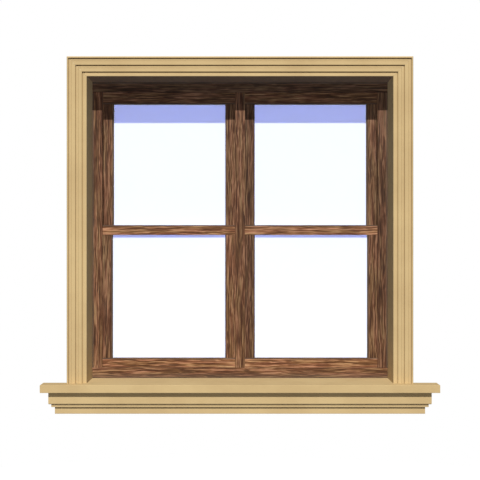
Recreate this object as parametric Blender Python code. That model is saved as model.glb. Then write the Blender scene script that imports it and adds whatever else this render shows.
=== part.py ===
"""Moulded window surround with a sill, and the pair of timber sash windows that it frames.

Metres, +Z up. The front faces -Y and the wall's face is the plane y = 0.
The origin is the centre of the sill apron's flat back, where the apron meets the wall.
"""

import math

import bmesh
import bpy
from mathutils import Vector

# Clearance between pieces that touch
GAP = 0.0003

# Opening inside the surround, from the sill's top to the soffit
OPENING_WIDTH = 1.200
OPENING_HEIGHT = 1.2015

# Architrave: three stepped bands and an outer lip, widths from the opening outwards
BAND_A_WIDTH = 0.0178
BAND_B_WIDTH = 0.0254
BAND_C_WIDTH = 0.0267
LIP_WIDTH = 0.0063
# How far each band's face stands in front of the wall
BAND_A_FACE = 0.021
BAND_B_FACE = 0.0265
BAND_C_FACE = 0.0315
LIP_FACE = 0.0378
# Each band's outer edge is a low ovolo that falls back to the next riser
OVOLO_A_WIDTH = 0.012
OVOLO_A_FALL = 0.0035
OVOLO_WIDTH = 0.0105
OVOLO_FALL = 0.0025
OVOLO_SEGMENTS = 6
QUIRK_WIDTH = 0.0014
QUIRK_DEPTH = 0.0012
INNER_ARRIS_RADIUS = 0.0018
LIP_RADIUS = 0.006
# The return that lines the opening, in one piece with the moulding
LINING_THICKNESS = 0.025

# Sill cap: a level slab with horns that run past the architrave
HORN_LENGTH = 0.0973
CAP_THICKNESS = 0.030
CAP_PROJECTION = 0.075
CAP_ARRIS_RADIUS = 0.001

# Apron under the cap: set back from the cap's front and from its ends alike
FASCIA_HEIGHT = 0.048
FASCIA_SETBACK = 0.028
FASCIA_EDGE_RADIUS = 0.004
FILLET_HEIGHT = 0.012
FILLET_SETBACK = 0.038
FOOT_HEIGHT = 0.028
FOOT_SETBACK = 0.050
APRON_ARRIS_RADIUS = 0.0012

# Timber window frame: a thin stop in front, and behind it the channels for the sashes
FRAME_SETBACK = 0.141
FRAME_DEPTH = 0.095
FRAME_FACE = 0.040
FRAME_SILL_FACE = 0.042
MULLION_FACE = 0.040
STOP_THICKNESS = 0.008
REBATE = 0.012
TIMBER_ARRIS_RADIUS = 0.0015

# Parting beads keep the lower sashes in front of the upper ones
BEAD_THICKNESS = 0.006
BEAD_WIDTH = 0.010

# Sashes: the lower one slides up in front, the upper one is fixed behind
RUN_CLEARANCE = 0.001
SASH_THICKNESS = 0.030
STILE_FACE = 0.0405
TOP_RAIL_FACE = 0.0423
MEETING_RAIL_FACE = 0.040
BOTTOM_RAIL_FACE = 0.0385

# Panes, each held in a groove all round
PANE_THICKNESS = 0.004
PANE_SETBACK = 0.016
GROOVE_DEPTH = 0.010

# Sides of a rounded arris
ARRIS_SEGMENTS = 3
EDGE_SEGMENTS = 5
# How far a cutter runs past what it cuts
CUTTER_MARGIN = 0.010
# Edges that turn less than this are shaded smooth
SMOOTH_ANGLE = math.radians(35)

# Levels and places that follow from the sizes above
APRON_HEIGHT = FASCIA_HEIGHT + FILLET_HEIGHT + FOOT_HEIGHT
APRON_TOP = APRON_HEIGHT / 2
CAP_BOTTOM = APRON_TOP + GAP
SILL_TOP = CAP_BOTTOM + CAP_THICKNESS
SOFFIT = SILL_TOP + OPENING_HEIGHT
HALF_OPENING = OPENING_WIDTH / 2
ARCHITRAVE_WIDTH = BAND_A_WIDTH + BAND_B_WIDTH + BAND_C_WIDTH + LIP_WIDTH
CAP_LENGTH = OPENING_WIDTH + 2 * (ARCHITRAVE_WIDTH + HORN_LENGTH)
LINING_DEPTH = FRAME_SETBACK + FRAME_DEPTH

FRAME_FRONT = FRAME_SETBACK
FRAME_BACK = FRAME_SETBACK + FRAME_DEPTH
STOP_BACK = FRAME_FRONT + STOP_THICKNESS
FRAME_HALF_WIDTH = HALF_OPENING - GAP
FRAME_BOTTOM = SILL_TOP + GAP
FRAME_TOP = SOFFIT - GAP
SILL_STOP_TOP = FRAME_BOTTOM + FRAME_SILL_FACE
HEAD_STOP_BOTTOM = FRAME_TOP - FRAME_FACE
JAMB_STOP = FRAME_HALF_WIDTH - FRAME_FACE

CHANNEL_BOTTOM = SILL_STOP_TOP - REBATE
CHANNEL_TOP = HEAD_STOP_BOTTOM + REBATE
CHANNEL_OUTER = JAMB_STOP + REBATE
CHANNEL_INNER = MULLION_FACE / 2 - REBATE
CHANNEL_CENTRE = (CHANNEL_OUTER + CHANNEL_INNER) / 2
CHANNEL_HALF_WIDTH = (CHANNEL_OUTER - CHANNEL_INNER) / 2
LIGHT_HALF_WIDTH = CHANNEL_HALF_WIDTH - REBATE - STILE_FACE

LOWER_FRONT = STOP_BACK + RUN_CLEARANCE
LOWER_BACK = LOWER_FRONT + SASH_THICKNESS
BEAD_FRONT = LOWER_BACK + RUN_CLEARANCE
BEAD_BACK = BEAD_FRONT + BEAD_THICKNESS
UPPER_FRONT = BEAD_BACK + GAP
UPPER_BACK = UPPER_FRONT + SASH_THICKNESS

LOWER_SASH_BOTTOM = CHANNEL_BOTTOM + GAP
UPPER_SASH_TOP = CHANNEL_TOP - GAP
# Both sashes are as tall, and their meeting rails stand at one level
SASH_HEIGHT = (UPPER_SASH_TOP - LOWER_SASH_BOTTOM + MEETING_RAIL_FACE) / 2
MEETING_TOP = LOWER_SASH_BOTTOM + SASH_HEIGHT
MEETING_BOTTOM = UPPER_SASH_TOP - SASH_HEIGHT
BOTTOM_RAIL_TOP = SILL_STOP_TOP + BOTTOM_RAIL_FACE
TOP_RAIL_BOTTOM = HEAD_STOP_BOTTOM - TOP_RAIL_FACE
PANE_BITE = GROOVE_DEPTH - GAP

# Colours, linear
SAND_COLOUR = (0.665, 0.480, 0.250, 1.0)
TIMBER_COLOUR = (0.190, 0.095, 0.045, 1.0)
GLASS_COLOUR = (0.780, 0.830, 0.980, 1.0)


def clear_scene():
    """Remove what the scene holds."""
    for old in list(bpy.data.objects):
        bpy.data.objects.remove(old, do_unlink=True)


def make_material(name, colour, roughness, alpha=1.0):
    """A plain Principled material."""
    material = bpy.data.materials.new(name)
    material.use_nodes = True
    shader = material.node_tree.nodes["Principled BSDF"]
    shader.inputs["Base Color"].default_value = colour
    shader.inputs["Roughness"].default_value = roughness
    shader.inputs["Metallic"].default_value = 0.0
    shader.inputs["Alpha"].default_value = alpha
    material.diffuse_color = colour
    return material


def make_empty(name, location, parent=None):
    """A point that pieces hang from."""
    empty = bpy.data.objects.new(name, None)
    empty.location = location
    empty.parent = parent
    bpy.context.scene.collection.objects.link(empty)
    return empty


def make_object(name, shape, material, parent, smooth_angle=None):
    """Turn a bmesh into a named object with outward faces."""
    bmesh.ops.recalc_face_normals(shape, faces=shape.faces)
    mesh = bpy.data.meshes.new(name)
    shape.to_mesh(mesh)
    shape.free()
    if smooth_angle is not None:
        mesh.shade_smooth()
        mesh.set_sharp_from_angle(angle=smooth_angle)
    mesh.materials.append(material)
    piece = bpy.data.objects.new(name, mesh)
    piece.parent = parent
    bpy.context.scene.collection.objects.link(piece)
    return piece


def prism(near, far):
    """A solid between two outlines that have the same number of points."""
    shape = bmesh.new()
    near_ring = [shape.verts.new(point) for point in near]
    far_ring = [shape.verts.new(point) for point in far]
    count = len(near_ring)
    for index in range(count):
        after = (index + 1) % count
        shape.faces.new((near_ring[index], near_ring[after], far_ring[after], far_ring[index]))
    shape.faces.new(near_ring)
    shape.faces.new(far_ring)
    return shape


def section_along_x(outline, start, stop):
    """A section given as (y, z) points, run along X."""
    near = [(start, y, z) for y, z in outline]
    far = [(stop, y, z) for y, z in outline]
    return prism(near, far)


def section_along_z(outline, start, stop):
    """A section given as (x, y) points, run along Z."""
    near = [(x, y, start) for x, y in outline]
    far = [(x, y, stop) for x, y in outline]
    return prism(near, far)


def rounded(corners, segments=ARRIS_SEGMENTS):
    """An outline whose corners, given as (a, b, radius), become arcs."""
    outline = []
    count = len(corners)
    for index, (a, b, radius) in enumerate(corners):
        corner = Vector((a, b))
        if radius <= 0:
            outline.append((a, b))
            continue
        before = (Vector(corners[index - 1][:2]) - corner).normalized()
        after = (Vector(corners[(index + 1) % count][:2]) - corner).normalized()
        half_angle = before.angle(after) / 2
        centre = corner + (before + after).normalized() * radius / math.sin(half_angle)
        start = corner + before * radius / math.tan(half_angle) - centre
        stop = corner + after * radius / math.tan(half_angle) - centre
        sweep = math.atan2(start.cross(stop), start.dot(stop))
        for step in range(segments + 1):
            turn = sweep * step / segments
            spoke = Vector((
                start.x * math.cos(turn) - start.y * math.sin(turn),
                start.x * math.sin(turn) + start.y * math.cos(turn),
            ))
            outline.append(tuple(centre + spoke))
    return outline


def ovolo(start, width, face, fall):
    """A convex edge that leaves the face level and falls back, as (out, forward) points."""
    radius = (width ** 2 + fall ** 2) / (2 * fall)
    sweep = math.asin(width / radius)
    points = []
    for step in range(OVOLO_SEGMENTS + 1):
        turn = sweep * step / OVOLO_SEGMENTS
        points.append((start + radius * math.sin(turn), face - radius * (1 - math.cos(turn))))
    return points


def stepped_band(start, width, face):
    """A flat, a fine quirk and an ovolo, from the opening outwards."""
    ovolo_start = start + width - OVOLO_WIDTH
    points = [(start, face)]
    points.append((ovolo_start - QUIRK_WIDTH, face))
    points.append((ovolo_start - QUIRK_WIDTH / 2, face - QUIRK_DEPTH))
    points += ovolo(ovolo_start, OVOLO_WIDTH, face, OVOLO_FALL)
    return points


def architrave_section():
    """Section of the moulding and its return, as (out from the opening, forward of the wall)."""
    band_b_start = BAND_A_WIDTH
    band_c_start = band_b_start + BAND_B_WIDTH
    lip_start = band_c_start + BAND_C_WIDTH
    face = ovolo(BAND_A_WIDTH - OVOLO_A_WIDTH, OVOLO_A_WIDTH, BAND_A_FACE, OVOLO_A_FALL)
    face += stepped_band(band_b_start, BAND_B_WIDTH, BAND_B_FACE)
    face += stepped_band(band_c_start, BAND_C_WIDTH, BAND_C_FACE)
    corners = [(0.0, BAND_A_FACE, INNER_ARRIS_RADIUS)]
    corners += [(out, forward, 0.0) for out, forward in face]
    corners.append((lip_start, LIP_FACE, 0.0))
    corners.append((ARCHITRAVE_WIDTH, LIP_FACE, LIP_RADIUS))
    corners.append((ARCHITRAVE_WIDTH, 0.0, 0.0))
    corners.append((LINING_THICKNESS, 0.0, 0.0))
    corners.append((LINING_THICKNESS, -LINING_DEPTH, 0.0))
    corners.append((0.0, -LINING_DEPTH, 0.0))
    return rounded(corners, EDGE_SEGMENTS)


def make_surround_head(material, parent):
    """The moulding over the opening, mitred at both ends."""
    section = architrave_section()
    mitre_gap = GAP / math.sqrt(2)
    ends = []
    for side in (-1, 1):
        end = []
        for out, forward in section:
            end.append((side * (HALF_OPENING + out - mitre_gap), -forward, SOFFIT + out))
        ends.append(end)
    shape = prism(*ends)
    return make_object("surround_head", shape, material, parent, SMOOTH_ANGLE)


def make_surround_jamb(name, side, material, parent):
    """A side of the surround: it stands on the cap and is mitred to the head."""
    section = architrave_section()
    mitre_gap = GAP / math.sqrt(2)
    foot = []
    top = []
    for out, forward in section:
        across = side * (HALF_OPENING + out)
        foot.append((across, -forward, SILL_TOP + GAP))
        top.append((across, -forward, SOFFIT + out - mitre_gap))
    shape = prism(foot, top)
    return make_object(name, shape, material, parent, SMOOTH_ANGLE)


def make_sill_cap(material, parent):
    """The slab: horns in front of the wall, and a tongue that runs back under the window."""
    half_length = CAP_LENGTH / 2
    tongue = HALF_OPENING + LINING_THICKNESS
    plan = [
        (-half_length, -CAP_PROJECTION), (half_length, -CAP_PROJECTION),
        (half_length, 0.0), (tongue, 0.0), (tongue, FRAME_BACK),
        (-tongue, FRAME_BACK), (-tongue, 0.0), (-half_length, 0.0),
    ]
    shape = section_along_z(plan, CAP_BOTTOM, SILL_TOP)
    in_front = []
    for edge in shape.edges:
        middle = (edge.verts[0].co + edge.verts[1].co) / 2
        if middle.y < -CAP_ARRIS_RADIUS:
            in_front.append(edge)
    bmesh.ops.bevel(shape, geom=in_front, offset=CAP_ARRIS_RADIUS, segments=ARRIS_SEGMENTS,
                    profile=0.5, affect="EDGES")
    return make_object("sill_cap", shape, material, parent, SMOOTH_ANGLE)


def make_sill_apron(material, parent):
    """The bed moulding under the cap, returned to the wall at both ends."""
    fascia_bottom = APRON_TOP - FASCIA_HEIGHT
    fillet_bottom = fascia_bottom - FILLET_HEIGHT
    # Behind the outline's last corner lies the wall, where every level ends at y = 0
    corners = [
        (CAP_PROJECTION, -APRON_TOP, 0.0),
        (FOOT_SETBACK, -APRON_TOP, APRON_ARRIS_RADIUS),
        (FOOT_SETBACK, fillet_bottom, 0.0),
        (FILLET_SETBACK, fillet_bottom, APRON_ARRIS_RADIUS),
        (FILLET_SETBACK, fascia_bottom, 0.0),
        (FASCIA_SETBACK, fascia_bottom, FASCIA_EDGE_RADIUS),
        (FASCIA_SETBACK, APRON_TOP, APRON_ARRIS_RADIUS),
        (CAP_PROJECTION, APRON_TOP, 0.0),
    ]
    face = rounded(corners, EDGE_SEGMENTS)[1:-1]
    shape = bmesh.new()
    rings = []
    for setback, level in face:
        across = CAP_LENGTH / 2 - setback
        front = setback - CAP_PROJECTION
        ring = [(-across, 0.0, level), (-across, front, level),
                (across, front, level), (across, 0.0, level)]
        rings.append([shape.verts.new(point) for point in ring])
    for lower, upper in zip(rings, rings[1:]):
        for index in range(3):
            shape.faces.new((lower[index], lower[index + 1], upper[index + 1], upper[index]))
    shape.faces.new(rings[0])
    shape.faces.new(rings[-1])
    back = [ring[0] for ring in rings] + [ring[3] for ring in reversed(rings)]
    shape.faces.new(back)
    return make_object("sill_apron", shape, material, parent, SMOOTH_ANGLE)


def cut_box(target, name, low, high):
    """Take a box out of a piece, with a hidden cutter."""
    corners = [(low[0], low[1]), (high[0], low[1]), (high[0], high[1]), (low[0], high[1])]
    shape = section_along_z(corners, low[2], high[2])
    bmesh.ops.recalc_face_normals(shape, faces=shape.faces)
    mesh = bpy.data.meshes.new(name)
    shape.to_mesh(mesh)
    shape.free()
    cutter = bpy.data.objects.new(name, mesh)
    cutter.parent = target.parent
    cutter.hide_render = True
    cutter.display_type = "WIRE"
    bpy.context.scene.collection.objects.link(cutter)
    boolean = target.modifiers.new(name, "BOOLEAN")
    boolean.operation = "DIFFERENCE"
    boolean.solver = "EXACT"
    boolean.object = cutter


def make_frame_head(material, parent):
    """Head of the timber frame, cut back behind its stop, and as wide as the opening."""
    outline = rounded([
        (FRAME_FRONT, FRAME_TOP, 0.0),
        (FRAME_FRONT, HEAD_STOP_BOTTOM, TIMBER_ARRIS_RADIUS),
        (STOP_BACK, HEAD_STOP_BOTTOM, 0.0),
        (STOP_BACK, CHANNEL_TOP, 0.0),
        (FRAME_BACK, CHANNEL_TOP, 0.0),
        (FRAME_BACK, FRAME_TOP, 0.0),
    ])
    shape = section_along_x(outline, -FRAME_HALF_WIDTH, FRAME_HALF_WIDTH)
    return make_object("frame_head", shape, material, parent)


def make_frame_sill(material, parent):
    """Sill member of the timber frame, cut back behind its stop, and as wide as the opening."""
    outline = rounded([
        (FRAME_FRONT, FRAME_BOTTOM, 0.0),
        (FRAME_FRONT, SILL_STOP_TOP, TIMBER_ARRIS_RADIUS),
        (STOP_BACK, SILL_STOP_TOP, 0.0),
        (STOP_BACK, CHANNEL_BOTTOM, 0.0),
        (FRAME_BACK, CHANNEL_BOTTOM, 0.0),
        (FRAME_BACK, FRAME_BOTTOM, 0.0),
    ])
    shape = section_along_x(outline, -FRAME_HALF_WIDTH, FRAME_HALF_WIDTH)
    return make_object("frame_sill", shape, material, parent)


def cut_stop_ends(post, left, right):
    """Shorten a post's stop at both ends, so that its back runs on behind the stops it meets."""
    front = FRAME_FRONT - CUTTER_MARGIN
    back = STOP_BACK + GAP
    cut_box(post, "cutter_" + post.name + "_top",
            (left, front, HEAD_STOP_BOTTOM - GAP), (right, back, FRAME_TOP + CUTTER_MARGIN))
    cut_box(post, "cutter_" + post.name + "_foot",
            (left, front, FRAME_BOTTOM - CUTTER_MARGIN), (right, back, SILL_STOP_TOP + GAP))


def make_frame_jamb(name, side, material, parent):
    """A jamb of the timber frame, between its head and its sill."""
    outline = rounded([
        (side * FRAME_HALF_WIDTH, FRAME_FRONT, 0.0),
        (side * JAMB_STOP, FRAME_FRONT, TIMBER_ARRIS_RADIUS),
        (side * JAMB_STOP, STOP_BACK, 0.0),
        (side * CHANNEL_OUTER, STOP_BACK, 0.0),
        (side * CHANNEL_OUTER, FRAME_BACK, 0.0),
        (side * FRAME_HALF_WIDTH, FRAME_BACK, 0.0),
    ])
    foot = CHANNEL_BOTTOM + GAP
    top = CHANNEL_TOP - GAP
    jamb = make_object(name, section_along_z(outline, foot, top), material, parent)
    inside = side * (JAMB_STOP - CUTTER_MARGIN)
    outside = side * (FRAME_HALF_WIDTH + CUTTER_MARGIN)
    cut_stop_ends(jamb, min(inside, outside), max(inside, outside))
    return jamb


def make_frame_mullion(material, parent):
    """The post between the pairs of sashes: a stop in front and a web between the channels."""
    half_face = MULLION_FACE / 2
    outline = rounded([
        (-half_face, FRAME_FRONT, TIMBER_ARRIS_RADIUS),
        (half_face, FRAME_FRONT, TIMBER_ARRIS_RADIUS),
        (half_face, STOP_BACK, 0.0), (CHANNEL_INNER, STOP_BACK, 0.0),
        (CHANNEL_INNER, FRAME_BACK, 0.0), (-CHANNEL_INNER, FRAME_BACK, 0.0),
        (-CHANNEL_INNER, STOP_BACK, 0.0), (-half_face, STOP_BACK, 0.0),
    ])
    foot = CHANNEL_BOTTOM + GAP
    top = CHANNEL_TOP - GAP
    mullion = make_object("frame_mullion", section_along_z(outline, foot, top), material, parent)
    reach = half_face + CUTTER_MARGIN
    cut_stop_ends(mullion, -reach, reach)
    return mullion


def make_parting_bead(name, wall, inward, material, parent):
    """A strip on a channel's wall that stands between the two sashes' paths."""
    near = wall + inward * GAP
    far = near + inward * BEAD_WIDTH
    plan = [(near, BEAD_FRONT), (far, BEAD_FRONT), (far, BEAD_BACK), (near, BEAD_BACK)]
    shape = section_along_z(plan, CHANNEL_BOTTOM + GAP, CHANNEL_TOP - GAP)
    return make_object(name, shape, material, parent)


def grooved_edge(front, edge, inward):
    """Corners of a glazed edge with its groove, as (depth, across, radius), front to back."""
    bottom = edge + inward * GROOVE_DEPTH
    groove_front = front + PANE_SETBACK - GAP
    groove_back = front + PANE_SETBACK + PANE_THICKNESS + GAP
    return [
        (front, edge, TIMBER_ARRIS_RADIUS),
        (groove_front, edge, 0.0), (groove_front, bottom, 0.0),
        (groove_back, bottom, 0.0), (groove_back, edge, 0.0),
        (front + SASH_THICKNESS, edge, TIMBER_ARRIS_RADIUS),
    ]


def make_rail(name, front, plain_edge, glazed_edge, half_width, material, parent):
    """A rail that runs over both stiles, with its groove along the glazed edge."""
    inward = math.copysign(1, plain_edge - glazed_edge)
    corners = grooved_edge(front, glazed_edge, inward)
    corners += [(front + SASH_THICKNESS, plain_edge, 0.0), (front, plain_edge, 0.0)]
    shape = section_along_x(rounded(corners), -half_width, half_width)
    return make_object(name, shape, material, parent)


def make_upper_meeting_rail(name, half_width, material, parent):
    """The upper sash's bottom rail: it comes forward between the beads, near the lower sash."""
    corners = grooved_edge(UPPER_FRONT, MEETING_TOP, -1)[1:]
    corners += [
        (UPPER_BACK, MEETING_BOTTOM, 0.0), (BEAD_FRONT, MEETING_BOTTOM, 0.0),
        (BEAD_FRONT, MEETING_TOP, TIMBER_ARRIS_RADIUS),
    ]
    shape = section_along_x(rounded(corners), -half_width, half_width)
    rail = make_object(name, shape, material, parent)
    for side, end in ((-1, "left"), (1, "right")):
        near = side * (CHANNEL_HALF_WIDTH - GAP - BEAD_WIDTH - RUN_CLEARANCE)
        far = side * (half_width + CUTTER_MARGIN)
        cut_box(rail, "cutter_" + name + "_" + end,
                (min(near, far), BEAD_FRONT - CUTTER_MARGIN, MEETING_BOTTOM - CUTTER_MARGIN),
                (max(near, far), UPPER_FRONT, MEETING_TOP + CUTTER_MARGIN))
    return rail


def make_stile(name, side, front, foot, top, half_width, material, parent):
    """A stile between the rails."""
    corners = grooved_edge(front, side * LIGHT_HALF_WIDTH, side)
    outer = side * half_width
    corners += [(front + SASH_THICKNESS, outer, 0.0), (front, outer, 0.0)]
    outline = [(across, depth) for depth, across in rounded(corners)]
    shape = section_along_z(outline, foot + GAP, top - GAP)
    return make_object(name, shape, material, parent)


def make_pane(name, front, bottom, top, material, parent):
    """A pane that bites into the grooves on all four sides."""
    across = LIGHT_HALF_WIDTH + PANE_BITE
    near = front + PANE_SETBACK
    far = near + PANE_THICKNESS
    plan = [(-across, near), (across, near), (across, far), (-across, far)]
    shape = section_along_z(plan, bottom - PANE_BITE, top + PANE_BITE)
    return make_object(name, shape, material, parent)


def make_stiles_and_pane(prefix, side, front, bottom, top, half_width, timber, glass, parent):
    """What stands between a sash's rails."""
    make_stile(prefix + "outer_stile", side, front, bottom, top, half_width, timber, parent)
    make_stile(prefix + "inner_stile", -side, front, bottom, top, half_width, timber, parent)
    make_pane(prefix + "pane", front, bottom, top, glass, parent)


def make_lower_sash(hand, side, timber, glass, parent):
    """The sash in front, which slides up with a running clearance all round."""
    centre = make_empty(hand + "_lower_sash", (side * CHANNEL_CENTRE, 0.0, 0.0), parent)
    prefix = hand + "_lower_sash_"
    half_width = CHANNEL_HALF_WIDTH - RUN_CLEARANCE
    make_rail(prefix + "top_rail", LOWER_FRONT, MEETING_TOP, MEETING_BOTTOM, half_width, timber, centre)
    make_rail(prefix + "bottom_rail", LOWER_FRONT, LOWER_SASH_BOTTOM, BOTTOM_RAIL_TOP, half_width,
              timber, centre)
    make_stiles_and_pane(prefix, side, LOWER_FRONT, BOTTOM_RAIL_TOP, MEETING_BOTTOM, half_width,
                         timber, glass, centre)


def make_upper_sash(hand, side, timber, glass, parent):
    """The sash behind, fixed in the top of its channel."""
    centre = make_empty(hand + "_upper_sash", (side * CHANNEL_CENTRE, 0.0, 0.0), parent)
    prefix = hand + "_upper_sash_"
    half_width = CHANNEL_HALF_WIDTH - GAP
    make_rail(prefix + "top_rail", UPPER_FRONT, UPPER_SASH_TOP, TOP_RAIL_BOTTOM, half_width, timber, centre)
    make_upper_meeting_rail(prefix + "bottom_rail", half_width, timber, centre)
    make_stiles_and_pane(prefix, side, UPPER_FRONT, MEETING_TOP, TOP_RAIL_BOTTOM, half_width,
                         timber, glass, centre)


def main():
    """Build every piece."""
    clear_scene()
    sand = make_material("painted_cast_stone", SAND_COLOUR, 0.75)
    timber = make_material("stained_timber", TIMBER_COLOUR, 0.55)
    glass = make_material("clear_glass", GLASS_COLOUR, 0.05, alpha=0.35)
    root = make_empty("window_surround", (0.0, 0.0, 0.0))
    make_surround_head(sand, root)
    make_sill_cap(sand, root)
    make_sill_apron(sand, root)
    make_frame_head(timber, root)
    make_frame_sill(timber, root)
    make_frame_mullion(timber, root)
    for hand, side in (("left", -1), ("right", 1)):
        make_surround_jamb("surround_jamb_" + hand, side, sand, root)
        make_frame_jamb("frame_jamb_" + hand, side, timber, root)
        make_parting_bead(hand + "_outer_parting_bead", side * CHANNEL_OUTER, -side, timber, root)
        make_parting_bead(hand + "_inner_parting_bead", side * CHANNEL_INNER, side, timber, root)
        make_lower_sash(hand, side, timber, glass, root)
        make_upper_sash(hand, side, timber, glass, root)


main()
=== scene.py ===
"""Looks of the moulded window surround and the timber window in it.

Every solid keeps the shape that the frame gives it. This script adds the finish of each piece,
a pale floor below, a sun-like key light from the front, weak fills from all sides, a little
ambient light and the camera.
"""

import math

import bpy
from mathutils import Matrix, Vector


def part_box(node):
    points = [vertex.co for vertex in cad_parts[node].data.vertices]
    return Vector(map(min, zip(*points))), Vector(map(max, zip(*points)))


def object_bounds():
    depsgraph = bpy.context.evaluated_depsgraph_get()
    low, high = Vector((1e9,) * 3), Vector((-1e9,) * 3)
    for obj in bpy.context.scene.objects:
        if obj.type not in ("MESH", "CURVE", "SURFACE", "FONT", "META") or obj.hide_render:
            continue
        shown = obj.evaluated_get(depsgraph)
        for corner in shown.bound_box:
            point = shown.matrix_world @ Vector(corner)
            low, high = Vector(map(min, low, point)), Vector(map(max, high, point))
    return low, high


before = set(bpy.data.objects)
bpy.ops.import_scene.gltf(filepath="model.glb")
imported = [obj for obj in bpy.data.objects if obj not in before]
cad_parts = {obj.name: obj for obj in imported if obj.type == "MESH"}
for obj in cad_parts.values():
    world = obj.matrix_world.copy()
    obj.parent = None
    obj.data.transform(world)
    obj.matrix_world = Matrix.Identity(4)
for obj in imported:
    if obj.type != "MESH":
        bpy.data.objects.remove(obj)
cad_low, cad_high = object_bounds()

# Levels read from the frame
SILL_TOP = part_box("sill_cap")[1][2]
CAP_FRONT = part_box("sill_cap")[0][1]
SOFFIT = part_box("surround_head")[0][2]
HALF_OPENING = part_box("surround_jamb_right")[0][0]

# Camera: level and central, as far in front of the cap as the perspective asks
CAMERA_DISTANCE = 4.124
CAMERA_HEIGHT = 0.561
CAMERA_LENS_MM = 80.1
CAMERA_SENSOR_MM = 36.0

# Light: a key from straight in front and above
KEY_ELEVATION = math.radians(35.3)
KEY_STRENGTH = 3.58
KEY_SPREAD = math.radians(0.8)
# Weak fills that cast no shadow: which way each one shines, its strength and its colour
WHITE = (1.0, 1.0, 1.0)
PALE_BLUE = (0.71, 0.80, 1.0)
DEEP_BLUE = (0.20, 0.34, 1.0)
FILLS = (
    ((0.0, 1.0, -0.35), 0.81, WHITE),
    ((0.0, -1.0, 0.0), 1.60, WHITE),
    ((1.0, 0.0, 0.0), 0.49, PALE_BLUE),
    ((-1.0, 0.0, 0.0), 0.49, PALE_BLUE),
    ((0.0, 0.0, -1.0), 0.66, WHITE),
    ((0.0, 0.0, 1.0), 0.28, DEEP_BLUE),
)
# Ambient light from above, level and below. The first and the last are full from these
# heights of the direction, which run from -1 straight down to 1 straight up
AMBIENT_ABOVE = (0.17, 0.17, 0.18, 1.0)
AMBIENT_LEVEL = (0.13, 0.133, 0.143, 1.0)
AMBIENT_BELOW = (0.015, 0.016, 0.022, 1.0)
FADE_UP = 0.8
FADE_DOWN = -0.35
BACKDROP = (1.0, 1.0, 1.0, 1.0)
# What shows beyond the panes: a bright blue sky, which the panes thin out
SKY_BEHIND_GLASS = (0.69, 0.93, 3.00, 1.0)

# Floor
FLOOR_DROP = 1.20
FLOOR_RADIUS = 5.0
FLOOR_SIDES = 96
FLOOR_COLOUR = (0.90, 0.90, 0.90, 1.0)
FLOOR_GLOW = 0.42
FLOOR_CLOUDS = 3.0
FLOOR_ROUGHNESS = (0.85, 0.95)

# Noise lies mostly within this span
NOISE_SPAN = (0.3, 0.7)

# Stone: linear colours, and textures in cells per metre
SAND_DARK = (0.490, 0.350, 0.168, 1.0)
SAND_LIGHT = (0.540, 0.394, 0.192, 1.0)
SAND_SPECK = (0.440, 0.308, 0.145, 1.0)
STONE_CLOUDS = 7.0
CLOUD_SPAN = (0.35, 0.65)
STONE_GRAIN = 650.0
STONE_SPECKS = 260.0
SPECK_SPAN = (0.66, 0.78)
SPECK_SHARE = 0.45
STONE_ROUGHNESS = (0.72, 0.90)
STONE_SPECULAR = 0.25
CLOUD_HEIGHT = 0.6
# A bump's strength and its distance in metres
STONE_BUMP = (0.25, 0.0006)
# How far the texture is moved from one stone piece to the next
STONE_STEP = (0.37, 0.53, 0.71)

# Painted shade in the architrave's recesses: how far out from the opening each lies, and its
# strength
RECESS_CORNERS = ((0.0178, 0.80), (0.0432, 1.0), (0.0699, 0.95))
RECESS_QUIRKS = ((0.0320, 0.35), (0.0587, 0.35))
QUIRK_REACH = 0.0009
# It is full for this far inward of a riser, and stops just outward of it
CORNER_FULL = 0.0004
CORNER_STOP = (-0.0003, -0.0001)
# The head gets stronger and wider painted shade than the jambs: its strength and its reach
HEAD_RECESS_SHADE = (1.0, 0.0080)
JAMB_RECESS_SHADE = (0.52, 0.0052)
# The colour that multiplies the stone where the painted shade is full
RECESS_SHADE_CAST = (0.42, 0.34, 0.25, 1.0)

# Timber: linear colours
WOOD_PORE = (0.040, 0.014, 0.005, 1.0)
WOOD_STREAKS = (
    (0.12, (0.050, 0.018, 0.006, 1.0)),
    (0.38, (0.105, 0.044, 0.018, 1.0)),
    (0.62, (0.182, 0.088, 0.044, 1.0)),
    (0.88, (0.315, 0.184, 0.108, 1.0)),
)
WOOD_RED_CAST = (1.07, 0.91, 0.82, 1.0)
WOOD_OLIVE_CAST = (0.99, 0.98, 0.77, 1.0)
# Painted shade along timber edges, beside the glass and against the surround
WOOD_EDGE_SHADE = (0.070, 0.046, 0.031, 1.0)
# How far the painted edge shade reaches fully, how far it reaches at all, and its strength
NARROW_EDGE_SHADE = (0.0033, 0.0065, 0.75)
SILL_EDGE_SHADE = (0.004, 0.024, 0.60)
# The timber's textures, in cells per metre along the member and across it, and where some start
STREAKS = (8.0, 250.0, 250.0)
FIBRES = (22.0, 520.0, 520.0)
PORES = (12.0, 240.0, 240.0)
PORES_START = (3.7, 8.1, 2.6)
CASTS = (6.0, 70.0, 70.0)
CASTS_START = (1.1, 5.2, 9.4)
BROAD = (3.0, 26.0, 26.0)
WANDER = (7.0, 14.0, 14.0)
WANDER_START = (7.3, 1.9, 4.1)
# The span of each noise that counts, and its weight in the figure
STREAK_SPAN = (0.37, 0.63)
STREAK_WEIGHT = 0.70
FIBRE_SPAN = (0.34, 0.66)
FIBRE_WEIGHT = 0.30
BROAD_REACH = 0.08
CAST_SPAN = (0.40, 0.60)
PORE_SPAN = (0.60, 0.68)
PORE_SHARE = 0.80
PORE_DEPTH = 0.3
# Streaks wander this far to either side as they run, in metres
WANDER_SPAN = (0.2, 0.8)
WANDER_REACH = 0.0035
# How much the finest part of the streaks' noise counts
STREAK_FINENESS = 0.6
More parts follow.
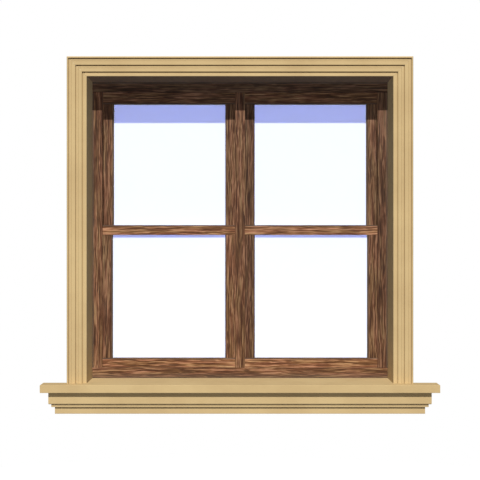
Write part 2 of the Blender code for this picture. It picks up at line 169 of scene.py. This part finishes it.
# The figure's span that sets the surface roughness
FIGURE_SPAN = (0.1, 0.9)
WOOD_ROUGHNESS = (0.68, 0.52)
WOOD_SPECULAR = 0.2
WOOD_BUMP = (0.3, 0.0008)
# How far the texture is moved from one timber piece to the next
BOARD_STEP = (0.83, 0.31, 0.57)

# Glass
GLASS_COLOUR = (0.97, 0.99, 1.0, 1.0)
GLASS_ALPHA = 0.56
GLASS_ROUGHNESS = 0.06
GLASS_WAVES = 9.0
GLASS_BUMP = (0.12, 0.0004)

# Boards differ in tone; the others have a tone of 1. The head and the upper sashes' top rails
# are also darker as painted shade from the deep reveal above them
BOARD_TONES_AND_SHADE = {
    "frame_head": 0.54,
    "frame_jamb_left": 0.90,
    "frame_jamb_right": 0.61,
    "frame_mullion": 0.82,
    "frame_sill": 0.97,
    "left_lower_sash_bottom_rail": 1.37,
    "left_lower_sash_inner_stile": 0.97,
    "left_lower_sash_outer_stile": 0.75,
    "left_lower_sash_top_rail": 1.36,
    "left_upper_sash_inner_stile": 0.82,
    "left_upper_sash_outer_stile": 0.82,
    "left_upper_sash_top_rail": 0.87,
    "right_lower_sash_bottom_rail": 1.37,
    "right_lower_sash_inner_stile": 0.61,
    "right_lower_sash_outer_stile": 0.75,
    "right_lower_sash_top_rail": 1.25,
    "right_upper_sash_inner_stile": 0.62,
    "right_upper_sash_outer_stile": 0.73,
    "right_upper_sash_top_rail": 0.98,
}

# Painted shade in the recesses, for the pieces that have it: its strength and its reach
RECESS_SHADE_BY_PIECE = {
    "surround_head": HEAD_RECESS_SHADE,
    "surround_jamb_left": JAMB_RECESS_SHADE,
    "surround_jamb_right": JAMB_RECESS_SHADE,
}
STONE_NODES = (
    "surround_head",
    "surround_jamb_left",
    "surround_jamb_right",
    "sill_cap",
    "sill_apron",
)


class Graph:
    """Short calls for building one material's or one world's nodes."""

    def __init__(self, tree):
        self.tree = tree

    def node(self, kind, **settings):
        """Add a node and set its properties."""
        made = self.tree.nodes.new(kind)
        for key, value in settings.items():
            setattr(made, key, value)
        return made

    def link(self, source, target):
        """Join two sockets."""
        self.tree.links.new(source, target)

    def feed(self, socket, value):
        """Link a socket to another, or set its plain value."""
        if isinstance(value, bpy.types.NodeSocket):
            self.link(value, socket)
        else:
            socket.default_value = value

    def math(self, operation, first, second=0.0):
        """Arithmetic on two numbers."""
        made = self.node("ShaderNodeMath", operation=operation)
        self.feed(made.inputs[0], first)
        self.feed(made.inputs[1], second)
        return made.outputs[0]

    def mix(self, factor, first, second, blend="MIX"):
        """Mix two colours."""
        made = self.node("ShaderNodeMix", data_type="RGBA", blend_type=blend)
        self.feed(made.inputs[0], factor)
        self.feed(made.inputs[6], first)
        self.feed(made.inputs[7], second)
        return made.outputs[2]

    def mapped(self, value, low, high, new_low=0.0, new_high=1.0):
        """Stretch a range of numbers to another, clamped."""
        made = self.node("ShaderNodeMapRange")
        self.feed(made.inputs["Value"], value)
        made.inputs["From Min"].default_value = low
        made.inputs["From Max"].default_value = high
        made.inputs["To Min"].default_value = new_low
        made.inputs["To Max"].default_value = new_high
        return made.outputs["Result"]

    def stretched(self, vector, scale, offset=(0.0, 0.0, 0.0)):
        """Scale and move a vector."""
        made = self.node("ShaderNodeMapping")
        self.link(vector, made.inputs["Vector"])
        made.inputs["Scale"].default_value = scale
        made.inputs["Location"].default_value = offset
        return made.outputs["Vector"]

    def noise(self, vector, scale=1.0, detail=2.0, roughness=0.5):
        """Fractal noise as a number."""
        made = self.node("ShaderNodeTexNoise")
        self.link(vector, made.inputs["Vector"])
        made.inputs["Scale"].default_value = scale
        made.inputs["Detail"].default_value = detail
        made.inputs["Roughness"].default_value = roughness
        return made.outputs["Fac"]

    def ramp(self, value, stops):
        """A colour ramp given as (place, colour) stops."""
        made = self.node("ShaderNodeValToRGB")
        self.link(value, made.inputs["Fac"])
        elements = made.color_ramp.elements
        while len(elements) < len(stops):
            elements.new(0.5)
        for element, (place, colour) in zip(elements, stops):
            element.position = place
            element.color = colour
        return made.outputs["Color"]

    def bump(self, height, strength, distance):
        """A bump from a height."""
        made = self.node("ShaderNodeBump")
        self.link(height, made.inputs["Height"])
        made.inputs["Strength"].default_value = strength
        made.inputs["Distance"].default_value = distance
        return made.outputs["Normal"]


def new_material(name):
    """An empty Principled material, as its graph and its shader."""
    material = bpy.data.materials.new(name)
    material.use_nodes = True
    shader = material.node_tree.nodes["Principled BSDF"]
    return material, Graph(material.node_tree), shader


def dress(node_name, material):
    """Give a CAD node its finish."""
    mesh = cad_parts[node_name].data
    mesh.materials.clear()
    mesh.materials.append(material)


def recess_shade_share(graph, place, strength, reach):
    """How much painted shade shows on the architrave: beside each riser, and in each fine quirk."""
    split = graph.node("ShaderNodeSeparateXYZ")
    graph.link(place, split.inputs["Vector"])
    across = graph.math("SUBTRACT", graph.math("ABSOLUTE", split.outputs["X"]), HALF_OPENING)
    above = graph.math("SUBTRACT", split.outputs["Z"], SOFFIT)
    out = graph.math("MAXIMUM", across, above)
    share = 0.0
    for level, depth in RECESS_CORNERS:
        inward = graph.math("SUBTRACT", level, out)
        near = graph.mapped(inward, CORNER_FULL, reach, strength * depth, 0.0)
        past = graph.mapped(inward, *CORNER_STOP)
        share = graph.math("MAXIMUM", share, graph.math("MULTIPLY", near, past))
    for level, depth in RECESS_QUIRKS:
        beside = graph.math("ABSOLUTE", graph.math("SUBTRACT", out, level))
        share = graph.math("MAXIMUM", share, graph.mapped(beside, 0.0, QUIRK_REACH, depth, 0.0))
    return share


def stone_material(name, offset, recess_shade):
    """Fine sand-coloured painted cast stone: faint clouds, specks, and a sandy grain."""
    material, graph, shader = new_material(name)
    spot = graph.node("ShaderNodeTexCoord").outputs["Object"]
    place = graph.stretched(spot, (1.0, 1.0, 1.0), offset)
    clouds = graph.noise(place, scale=STONE_CLOUDS, detail=3.0, roughness=0.55)
    grain = graph.noise(place, scale=STONE_GRAIN, detail=2.0, roughness=0.6)
    specks = graph.noise(place, scale=STONE_SPECKS, detail=1.0)
    colour = graph.mix(graph.mapped(clouds, *CLOUD_SPAN), SAND_DARK, SAND_LIGHT)
    speck_share = graph.mapped(specks, *SPECK_SPAN, 0.0, SPECK_SHARE)
    colour = graph.mix(speck_share, colour, SAND_SPECK)
    # Painted shade in the recesses of the head and the jambs
    if recess_shade:
        colour = graph.mix(recess_shade_share(graph, spot, *recess_shade), colour, RECESS_SHADE_CAST, blend="MULTIPLY")
    graph.link(colour, shader.inputs["Base Color"])
    graph.link(graph.mapped(grain, *NOISE_SPAN, *STONE_ROUGHNESS), shader.inputs["Roughness"])
    shader.inputs["Specular IOR Level"].default_value = STONE_SPECULAR
    height = graph.math("ADD", grain, graph.math("MULTIPLY", clouds, CLOUD_HEIGHT))
    graph.link(graph.bump(height, *STONE_BUMP), shader.inputs["Normal"])
    return material


def painted_edge_shade(name, axis):
    """Where a member gets painted shade along an edge, beside the glass or against the surround, or
    None.

    It is given as the axis, the level on it, which way is into the member, and the edge's numbers.
    """
    low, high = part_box(name)
    at_low = (axis, low[axis], 1, NARROW_EDGE_SHADE)
    at_high = (axis, high[axis], -1, NARROW_EDGE_SHADE)
    if name == "frame_sill":
        return axis, low[axis], 1, SILL_EDGE_SHADE
    if name == "frame_jamb_left":
        return at_low
    if name in ("frame_jamb_right", "frame_head") or name.endswith("lower_sash_top_rail"):
        return at_high
    if "_sash_" not in name:
        return None
    pane_low, pane_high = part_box(name.partition("sash_")[0] + "sash_pane")
    if low[axis] + high[axis] < pane_low[axis] + pane_high[axis]:
        return at_high
    return at_low


def edge_shade_share(graph, place, edge):
    """How much of the painted edge shade shows, falling away from the edge."""
    axis, level, inward, (full, reach, strength) = edge
    split = graph.node("ShaderNodeSeparateXYZ")
    graph.link(place, split.inputs["Vector"])
    distance = graph.math("MULTIPLY", graph.math("SUBTRACT", split.outputs[axis], level), inward)
    return graph.mapped(distance, full, reach, strength, 0.0)


def timber_material(name, along_x, edge, offset, tone_and_shade):
    """Dark stained timber with long uneven streaks along the member, which wander a little."""
    material, graph, shader = new_material(name)
    place = graph.node("ShaderNodeTexCoord").outputs["Object"]
    turned = graph.node("ShaderNodeMapping")
    graph.link(place, turned.inputs["Vector"])
    # The member's length becomes the texture's first direction
    turned.inputs["Rotation"].default_value = (0.0, 0.0 if along_x else math.pi / 2, 0.0)
    turned.inputs["Location"].default_value = offset
    grain_place = turned.outputs["Vector"]

    shift = graph.node("ShaderNodeCombineXYZ")
    for side, start in (("Y", (0.0, 0.0, 0.0)), ("Z", WANDER_START)):
        slow = graph.noise(graph.stretched(grain_place, WANDER, start))
        graph.link(graph.mapped(slow, *WANDER_SPAN, -WANDER_REACH, WANDER_REACH), shift.inputs[side])
    added = graph.node("ShaderNodeVectorMath", operation="ADD")
    graph.link(grain_place, added.inputs[0])
    graph.link(shift.outputs["Vector"], added.inputs[1])
    flowing = added.outputs["Vector"]

    streaks = graph.noise(graph.stretched(flowing, STREAKS), roughness=STREAK_FINENESS)
    fibres = graph.noise(graph.stretched(flowing, FIBRES), roughness=STREAK_FINENESS)
    pores = graph.noise(graph.stretched(flowing, PORES, PORES_START), detail=1.0)
    casts = graph.noise(graph.stretched(flowing, CASTS, CASTS_START), detail=1.0)
    broad = graph.noise(graph.stretched(flowing, BROAD))

    figure = graph.math("ADD", graph.mapped(streaks, *STREAK_SPAN, 0.0, STREAK_WEIGHT),
                        graph.mapped(fibres, *FIBRE_SPAN, 0.0, FIBRE_WEIGHT))
    figure = graph.math("ADD", figure, graph.mapped(broad, *NOISE_SPAN, -BROAD_REACH, BROAD_REACH))
    colour = graph.ramp(figure, WOOD_STREAKS)
    cast = graph.mix(graph.mapped(casts, *CAST_SPAN), WOOD_OLIVE_CAST, WOOD_RED_CAST)
    colour = graph.mix(1.0, colour, cast, blend="MULTIPLY")
    pore_share = graph.mapped(pores, *PORE_SPAN, 0.0, PORE_SHARE)
    colour = graph.mix(pore_share, colour, WOOD_PORE)
    # The piece's tone: its board's own, and for the head and the upper top rails also painted shade
    colour = graph.mix(1.0, colour, (tone_and_shade, tone_and_shade, tone_and_shade, 1.0), blend="MULTIPLY")
    # Painted shade along one edge of the member
    if edge:
        colour = graph.mix(edge_shade_share(graph, place, edge), colour, WOOD_EDGE_SHADE)
    graph.link(colour, shader.inputs["Base Color"])
    graph.link(graph.mapped(figure, *FIGURE_SPAN, *WOOD_ROUGHNESS), shader.inputs["Roughness"])
    shader.inputs["Specular IOR Level"].default_value = WOOD_SPECULAR
    height = graph.math("SUBTRACT", figure, graph.math("MULTIPLY", pore_share, PORE_DEPTH))
    graph.link(graph.bump(height, *WOOD_BUMP), shader.inputs["Normal"])
    return material


def glass_material():
    """Clear glass with a faint waviness, see-through by its plain alpha."""
    material, graph, shader = new_material("clear_glass")
    shader.inputs["Base Color"].default_value = GLASS_COLOUR
    shader.inputs["Alpha"].default_value = GLASS_ALPHA
    shader.inputs["Roughness"].default_value = GLASS_ROUGHNESS
    place = graph.node("ShaderNodeTexCoord").outputs["Object"]
    waves = graph.noise(place, scale=GLASS_WAVES, detail=1.0)
    graph.link(graph.bump(waves, *GLASS_BUMP), shader.inputs["Normal"])
    return material


def finish_pieces():
    """Dress every node by what it is made of."""
    for index, name in enumerate(STONE_NODES):
        offset = [step * index for step in STONE_STEP]
        dress(name, stone_material("sand_" + name, offset, RECESS_SHADE_BY_PIECE.get(name)))
    glass = glass_material()
    timber_index = 0
    for name in sorted(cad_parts):
        if name in STONE_NODES:
            continue
        if name.endswith("pane"):
            dress(name, glass)
            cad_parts[name].visible_diffuse = False
            continue
        low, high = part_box(name)
        along_x = high[0] - low[0] > high[2] - low[2]
        edge = painted_edge_shade(name, 2 if along_x else 0)
        offset = [step * timber_index for step in BOARD_STEP]
        tone_and_shade = BOARD_TONES_AND_SHADE.get(name, 1.0)
        dress(name, timber_material("timber_" + name, along_x, edge, offset, tone_and_shade))
        timber_index += 1


def make_floor():
    """A round pale floor well below the window. It takes shadows and throws no light back."""
    bpy.ops.mesh.primitive_circle_add(vertices=FLOOR_SIDES, radius=FLOOR_RADIUS, fill_type="NGON",
                                      location=(0.0, 0.0, cad_low[2] - FLOOR_DROP))
    floor = bpy.context.object
    floor.name = "studio_floor"
    material, graph, shader = new_material("pale_floor")
    place = graph.node("ShaderNodeTexCoord").outputs["Object"]
    shader.inputs["Base Color"].default_value = FLOOR_COLOUR
    clouds = graph.noise(place, scale=FLOOR_CLOUDS)
    graph.link(graph.mapped(clouds, *NOISE_SPAN, *FLOOR_ROUGHNESS), shader.inputs["Roughness"])
    shader.inputs["Specular IOR Level"].default_value = 0.0
    shader.inputs["Emission Color"].default_value = (*WHITE, 1.0)
    shader.inputs["Emission Strength"].default_value = FLOOR_GLOW
    floor.data.materials.append(material)
    floor.visible_diffuse = False
    floor.visible_glossy = False


def make_sun(name, travel, strength, spread):
    """A far light that shines along a direction."""
    light = bpy.data.lights.new(name, "SUN")
    light.energy = strength
    light.angle = spread
    sun = bpy.data.objects.new(name, light)
    sun.rotation_euler = Vector(travel).to_track_quat("-Z", "Y").to_euler()
    bpy.context.scene.collection.objects.link(sun)
    return light


def make_lights():
    """The sun-like key straight from the front, and weak shadowless fills from all sides."""
    key_travel = (0.0, math.cos(KEY_ELEVATION), -math.sin(KEY_ELEVATION))
    make_sun("key", key_travel, KEY_STRENGTH, KEY_SPREAD)
    for index, (travel, strength, colour) in enumerate(FILLS):
        fill = make_sun(f"fill_{index}", travel, strength, 0.0)
        fill.color = colour
        fill.use_shadow = False


def make_world():
    """A white backdrop, a blue sky beyond the glass, and ambient light that weakens downwards."""
    world = bpy.data.worlds.new("studio")
    world.use_nodes = True
    bpy.context.scene.world = world
    world.node_tree.nodes.clear()
    graph = Graph(world.node_tree)
    direction = graph.node("ShaderNodeTexCoord").outputs["Generated"]
    split = graph.node("ShaderNodeSeparateXYZ")
    graph.link(direction, split.inputs["Vector"])
    height = split.outputs["Z"]
    ambient = graph.mix(graph.mapped(height, 0.0, FADE_UP), AMBIENT_LEVEL, AMBIENT_ABOVE)
    ambient = graph.mix(graph.mapped(height, 0.0, FADE_DOWN), ambient, AMBIENT_BELOW)
    path = graph.node("ShaderNodeLightPath")
    # A ray that has passed one clear surface or more counts as seen through glass
    through_glass = graph.mapped(path.outputs["Transparent Depth"], 0.0, 0.5)
    seen = graph.mix(through_glass, BACKDROP, SKY_BEHIND_GLASS)
    light = graph.mix(path.outputs["Is Camera Ray"], ambient, seen)
    background = graph.node("ShaderNodeBackground")
    graph.link(light, background.inputs["Color"])
    output = graph.node("ShaderNodeOutputWorld")
    graph.link(background.outputs["Background"], output.inputs["Surface"])


def make_camera():
    """A level camera in front of the middle."""
    data = bpy.data.cameras.new("camera")
    data.lens = CAMERA_LENS_MM
    data.sensor_width = CAMERA_SENSOR_MM
    camera = bpy.data.objects.new("camera", data)
    camera.location = (0.0, CAP_FRONT - CAMERA_DISTANCE, SILL_TOP + CAMERA_HEIGHT)
    camera.rotation_euler = (math.pi / 2, 0.0, 0.0)
    bpy.context.scene.collection.objects.link(camera)
    bpy.context.scene.camera = camera


finish_pieces()
make_floor()
make_lights()
make_world()
make_camera()
bpy.context.scene.view_settings.view_transform = "Standard"
